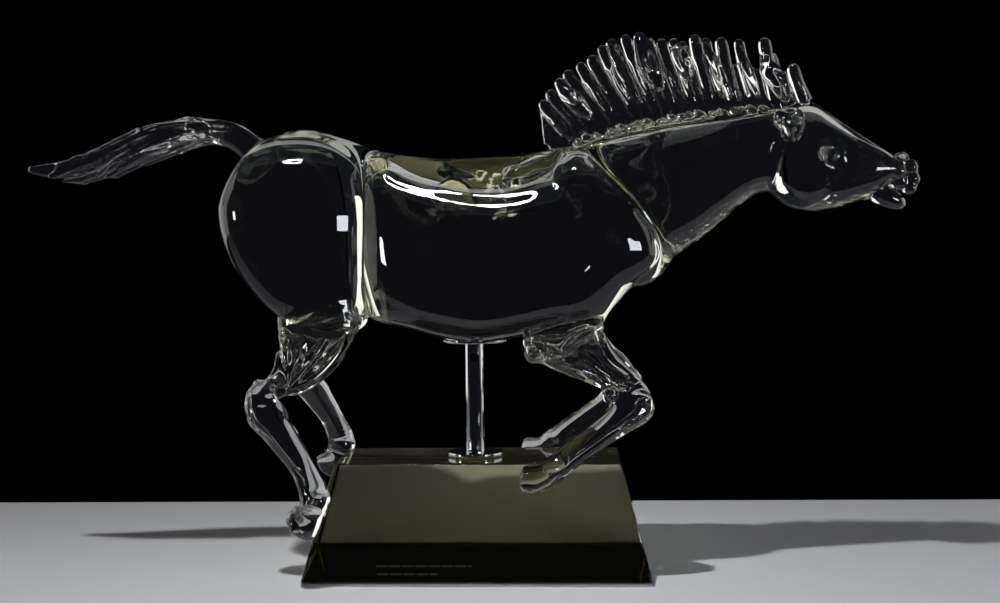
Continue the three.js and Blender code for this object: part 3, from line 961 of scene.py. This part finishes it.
def new_material(name, unevenness=(), absorbs=(), **looks):
    """A material. unevenness is a pattern's size in millimetres, its detail, its strength and its depth
    in millimetres. absorbs is the colour and the density that thick glass takes. looks are the
    shader's own values."""
    material = bpy.data.materials.new(name)
    material.use_nodes = True
    tree = material.node_tree
    tree.nodes.clear()
    if unevenness:
        size, detail, strength, depth = unevenness
        place = (add_node(tree, "ShaderNodeTexCoord"), "Object")
        noise = add_node(tree, "ShaderNodeTexNoise", Vector=place, Scale=1 / (size * MM), Detail=detail)
        height = (noise, "Fac")
        bump = add_node(tree, "ShaderNodeBump", Height=height, Strength=strength, Distance=depth * MM)
        looks["Normal"] = (bump, "Normal")
    ends = {"Surface": (add_node(tree, "ShaderNodeBsdfPrincipled", **looks), "BSDF")}
    if absorbs:
        colour, density = absorbs
        tint = add_node(tree, "ShaderNodeVolumeAbsorption", Color=linear(colour), Density=density)
        ends["Volume"] = (tint, "Volume")
    add_node(tree, "ShaderNodeOutputMaterial", **ends)
    return material


def clear_furnace_glass(settings):
    """Solid soda-lime glass, gathered hot, pulled with pincers and fire polished. The eye sees sharp
    highlights, the table upside down in the thick parts and a faint olive tint where it is thickest."""
    waves = (22.2, 1.0, 0.05, 1.0)
    absorbs = (settings.tint, settings.density)
    return new_material("clear_furnace_glass", waves, absorbs, Roughness=settings.roughness, **GLASS)


def tinted_cast_glass(settings):
    """Grey-olive cast glass, sawn, ground and polished flat. It is dark because it is thick: the table
    shows through it as a dim olive field."""
    absorbs = (settings.block_tint, settings.block_density)
    return new_material("tinted_cast_glass", absorbs=absorbs, Roughness=0.0, **GLASS)


def polished_chrome():
    """Chromium plate on turned brass rod, buffed: a near mirror with faint turning marks."""
    marks = (1.11, 2.0, 0.03, 0.2)
    colour = linear("c9cbce")
    return new_material("polished_chrome", marks, Base_Color=colour, Metallic=1.0, Roughness=0.06)


def blackened_steel():
    """A black-oxide steel set screw: dull dark metal."""
    return new_material("blackened_steel", Base_Color=linear("4a4a48"), Metallic=1.0, Roughness=0.35)


def moulded_silicone():
    """Clear moulded silicone bumpers: soft, pale and slightly milky."""
    return new_material("moulded_silicone", Base_Color=linear("c9c8ae"), Roughness=0.45)


def sandblasted_glass():
    """Strokes cut with sand: broken glass surface that scatters a little pale grey light."""
    return new_material("sandblasted_glass", Base_Color=linear("3c3c37"), Roughness=0.8)


def ground_glass():
    """The belly's flat spot, ground with coarse grit so that it sits on the disc: matt and straw white.
    The grit is drawn coarser than it is, so that it shows."""
    grit = (6.25, 3.0, 0.5, 1.0)
    return new_material("ground_glass", grit, Base_Color=linear("d6d0b4"), Roughness=0.9)


def studio_table():
    """Matt white laminate with a little dust: it is what the glass shows upside down."""
    dust = (1.43, 3.0, 0.15, 0.5)
    return new_material("studio_table", dust, Base_Color=linear("b4b5b8"), Roughness=0.7)


def black_velvet():
    """Black velvet cloth hung behind: its pile swallows nearly all light."""
    return new_material("black_velvet", Base_Color=BLACK, Roughness=1.0, Specular_IOR_Level=0.0)


def dress(piece, material):
    piece.data.materials.clear()
    piece.data.materials.append(material)


def finish_piece(piece, material, node):
    """Gives a piece its material, hangs it under the root and hides the solid that it stands for."""
    dress(piece, material)
    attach(piece, "root")
    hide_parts(node)


class GlassHorseSettings(bpy.types.PropertyGroup):
    voxel: bpy.props.FloatProperty(
        name="Grain", description="Cell of the molten glass, in millimetres", default=1.4, min=1.0, max=4.0
    )
    triangles: bpy.props.IntProperty(
        name="Triangles", description="About how many triangles the horse keeps", default=190000, min=10000
    )
    roughness: bpy.props.FloatProperty(
        name="Roughness", description="Micro roughness of the fire polish", default=0.0, subtype="FACTOR"
    )
    tint: bpy.props.StringProperty(
        name="Tint", description="Colour that thick clear glass turns to, sRGB hex", default="e6ead8"
    )
    density: bpy.props.FloatProperty(
        name="Tint strength", description="Absorption of clear glass for each metre", default=5.0, min=0.0
    )
    block_tint: bpy.props.StringProperty(
        name="Block tint", description="Colour that the block's glass turns to, sRGB hex", default="b5ae54"
    )
    block_density: bpy.props.FloatProperty(
        name="Block strength", description="Absorption of the block for each metre", default=11.0, min=0.0
    )


class BuildHorse(bpy.types.Operator):
    """Builds the whole horse as one fused body of glass, with the ground flat under its belly"""

    bl_idname = "glass_horse.horse"
    bl_label = "Horse"

    def execute(self, context):
        settings = context.scene.glass_horse
        glass = horse_glass(settings.voxel)
        glass.calm(1)
        points, quads = glass.skin()
        points = polish(points.astype(float), quads.astype(int), 4)
        horse = mesh_object("horse_glass", points, quads.tolist())
        thin = horse.modifiers.new("thin", "DECIMATE")
        thin.ratio = settings.triangles / (2 * len(quads))
        apply_modifiers(horse)
        shade_smooth(horse)
        corners = np.empty(len(horse.data.vertices) * 3)
        horse.data.vertices.foreach_get("co", corners)
        normals = glass.normals(corners.reshape(-1, 3) / MM)
        horse.data.normals_split_custom_set_from_vertices(normals.tolist())
        finish_piece(horse, clear_furnace_glass(settings), "horse")
        radius, foot, top, rim = BELLY_GRIND
        grind = turned("belly_grind", disc_profile(radius, foot, top, rim), (STEM_X, 0))
        finish_piece(grind, ground_glass(), "horse")
        return {"FINISHED"}


class BuildStem(bpy.types.Operator):
    """Finishes the stem and its set screw, and turns the two discs"""

    bl_idname = "glass_horse.stem"
    bl_label = "Stem and discs"

    def execute(self, context):
        chrome = polished_chrome()
        dress(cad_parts["stem"], chrome)
        dress(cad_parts["set_screw"], blackened_steel())
        for node, (radius, foot, top) in DISCS.items():
            disc = turned(f"{node}_turned", disc_profile(radius, foot, top), (STEM_X, 0))
            finish_piece(disc, chrome, node)
        return {"FINISHED"}


class BuildBlock(bpy.types.Operator):
    """Casts the tinted block and cuts the rows of strokes into its front"""

    bl_idname = "glass_horse.block"
    bl_label = "Block"

    def execute(self, context):
        block = rounded_block("block_cast", block_levels(), BLOCK_X)
        finish_piece(block, tinted_cast_glass(context.scene.glass_horse), "block")
        strokes = engraved_strokes("engraved_strokes")
        finish_piece(strokes, sandblasted_glass(), "block")
        return {"FINISHED"}


class BuildPads(bpy.types.Operator):
    """Moulds the four pads under the block's corners"""

    bl_idname = "glass_horse.pads"
    bl_label = "Pads"

    def execute(self, context):
        silicone = moulded_silicone()
        out_x, out_y = PAD_OUT
        centres = [(BLOCK_X + x * out_x, y * out_y) for x in (-1, 1) for y in (-1, 1)]
        for number, centre in enumerate(centres, 1):
            pad = turned(f"pad_{number}_moulded", PAD_SECTION, centre, 64)
            finish_piece(pad, silicone, f"pad_{number}")
        return {"FINISHED"}


# The stage, in metres and watts

TABLE = [(-1.6, -0.225, 0), (1.6, -0.225, 0), (1.6, 0.362, 0), (-1.6, 0.335, 0)]
BACKDROP = [(-2.6, 4, -1.8), (2.6, 4, -1.8), (2.6, 4, 2.9), (-2.6, 4, 2.9)]
AIM = (0, 0, 0.3)  # the middle of the horse, which the lamps face

# The ring that haunch and barrel mirror, made of round lamps, and the bulb that lights the table and
# casts the shadows of tail, mane and jaw. Each lamp is hidden from the rays that it would spoil.
RING_PLACE = (-0.357, -0.68, 2.15)
RING_RADIUS = 0.14
RING_COUNT = 12
RING_POWER = 12
BULB_PLACE = (-0.38, -0.56, 1.65)
BULB_AIM = (0.1, -0.25, 0)
BULB_POWER = 7.3
BULB_SPREAD = 90

# Boxes that mirror in the glass and light the table but don't show through the glass, and panels behind
# that light its
# rims: place, size across and down, power, colour and the rays that miss it
SIDE_LAMPS = {
    "right_box": ((1.35, -0.95, 0.4), (0.6, 0.26), 9, "f4f8ff", "transmission"),
    "left_box": ((-1.45, -0.75, 0.36), (0.16, 0.2), 3, "ffffff", "transmission"),
    "right_panel": ((1.5, 0.6, 0.6), (1.6, 1.3), 9, "f4f2ee", "diffuse"),
    "left_panel": ((-1.5, 0.6, 0.6), (1.6, 1.3), 9, "f4f2ee", "diffuse"),
}

# The photo's camera: place, and its turn in degrees: to the right, down and round its own axis
CAMERA_PLACE = (0.0889, -1.462, 0.3118)
CAMERA_TURN = (-2.42, 2.88, -0.51)
CAMERA_LENS = 59.5


def camera_frame(yaw, pitch, roll):
    """The camera's turn: yaw to the right, pitch down and roll, in degrees, from looking along +Y."""
    y, p, r = (math.radians(value) for value in (yaw, pitch, roll))
    right = Vector((math.cos(y), -math.sin(y), 0))
    ahead = Vector((math.sin(y) * math.cos(p), math.cos(y) * math.cos(p), -math.sin(p)))
    up = right.cross(ahead)
    rolled_right = math.cos(r) * right + math.sin(r) * up
    rolled_up = -math.sin(r) * right + math.cos(r) * up
    return Matrix((rolled_right, rolled_up, -ahead)).transposed().to_4x4()


def add_lamp(name, place, target, size, power, colour="ffffff", missed_by="diffuse", shape="RECTANGLE"):
    """An area lamp that the camera doesn't see. missed_by is one more kind of ray that passes it."""
    lamp = bpy.data.lights.new(name, "AREA")
    lamp.shape = shape
    lamp.size, lamp.size_y = size
    lamp.energy = power
    lamp.color = linear(colour)[:3]
    holder = bpy.data.objects.new(name, lamp)
    holder.location = place
    holder.rotation_euler = (Vector(target) - Vector(place)).to_track_quat("-Z", "Y").to_euler()
    holder.visible_camera = False
    setattr(holder, f"visible_{missed_by}", False)
    bpy.context.scene.collection.objects.link(holder)
    return holder


def ring_lamp():
    """A round studio light that mirrors as a ring."""
    middle, aim = Vector(RING_PLACE), Vector(AIM)
    turn = (aim - middle).to_track_quat("-Z", "Y")
    size, power = (0.07, 0.07), RING_POWER / RING_COUNT
    for number in range(RING_COUNT):
        angle = 2 * math.pi * number / RING_COUNT
        offset = turn @ Vector((RING_RADIUS * math.cos(angle), RING_RADIUS * math.sin(angle), 0))
        add_lamp(f"ring_light_{number + 1}", middle + offset, aim + offset, size, power, shape="DISK")


def lights():
    ring_lamp()
    size = (0.06, 0.06)
    bulb = add_lamp("key_bulb", BULB_PLACE, BULB_AIM, size, BULB_POWER, missed_by="glossy", shape="DISK")
    bulb.data.spread = math.radians(BULB_SPREAD)
    for name, (place, size, power, colour, missed_by) in SIDE_LAMPS.items():
        add_lamp(name, place, AIM, size, power, colour, missed_by)
    add_lamp("backdrop_glow", (0, 1.6, 0.4), (0, 0, 0.4), (2.1, 1.9), 0.08, "dedeff")


def stage_sheet(name, corners, material):
    """A flat piece of the stage from its corners in metres."""
    piece = mesh_object(name, np.array(corners) / MM, [(0, 1, 2, 3)])
    dress(piece, material)


def photo_camera(scene):
    camera = bpy.data.cameras.new("photo_camera")
    camera.lens = CAMERA_LENS
    camera.sensor_width = 36
    camera.sensor_fit = "HORIZONTAL"
    holder = bpy.data.objects.new("photo_camera", camera)
    holder.matrix_world = Matrix.Translation(CAMERA_PLACE) @ camera_frame(*CAMERA_TURN)
    scene.collection.objects.link(holder)
    scene.camera = holder


class BuildStage(bpy.types.Operator):
    """Sets the table, the lights, the dark surroundings and the camera"""

    bl_idname = "glass_horse.stage"
    bl_label = "Stage"

    def execute(self, context):
        scene = context.scene
        stage_sheet("table", TABLE, studio_table())
        lights()
        stage_sheet("backdrop", BACKDROP, black_velvet())
        world = bpy.data.worlds.new("dim_studio")
        world.use_nodes = True
        world.node_tree.nodes["Background"].inputs["Color"].default_value = linear("16171c")
        scene.world = world
        photo_camera(scene)
        scene.view_settings.view_transform = "Standard"
        return {"FINISHED"}


class GlassHorsePanel(bpy.types.Panel):
    """Lists the pieces and their settings"""

    bl_idname = "VIEW3D_PT_glass_horse"
    bl_label = "Glass horse"
    bl_space_type = "VIEW_3D"
    bl_region_type = "UI"
    bl_category = "Glass horse"

    def draw(self, context):
        settings = context.scene.glass_horse
        for name in ("voxel", "triangles", "roughness", "tint", "density", "block_tint", "block_density"):
            self.layout.prop(settings, name)
        for operator in OPERATORS:
            self.layout.operator(operator.bl_idname)


OPERATORS = (BuildStage, BuildHorse, BuildStem, BuildBlock, BuildPads)
CLASSES = (GlassHorseSettings, *OPERATORS, GlassHorsePanel)


def register():
    for item in CLASSES:
        bpy.utils.register_class(item)
    bpy.types.Scene.glass_horse = bpy.props.PointerProperty(type=GlassHorseSettings)


def unregister():
    del bpy.types.Scene.glass_horse
    for item in reversed(CLASSES):
        bpy.utils.unregister_class(item)


def main():
    register()
    bpy.ops.glass_horse.stage()
    bpy.ops.glass_horse.horse()
    bpy.ops.glass_horse.stem()
    bpy.ops.glass_horse.block()
    bpy.ops.glass_horse.pads()


if __name__ == "__main__":
    main()
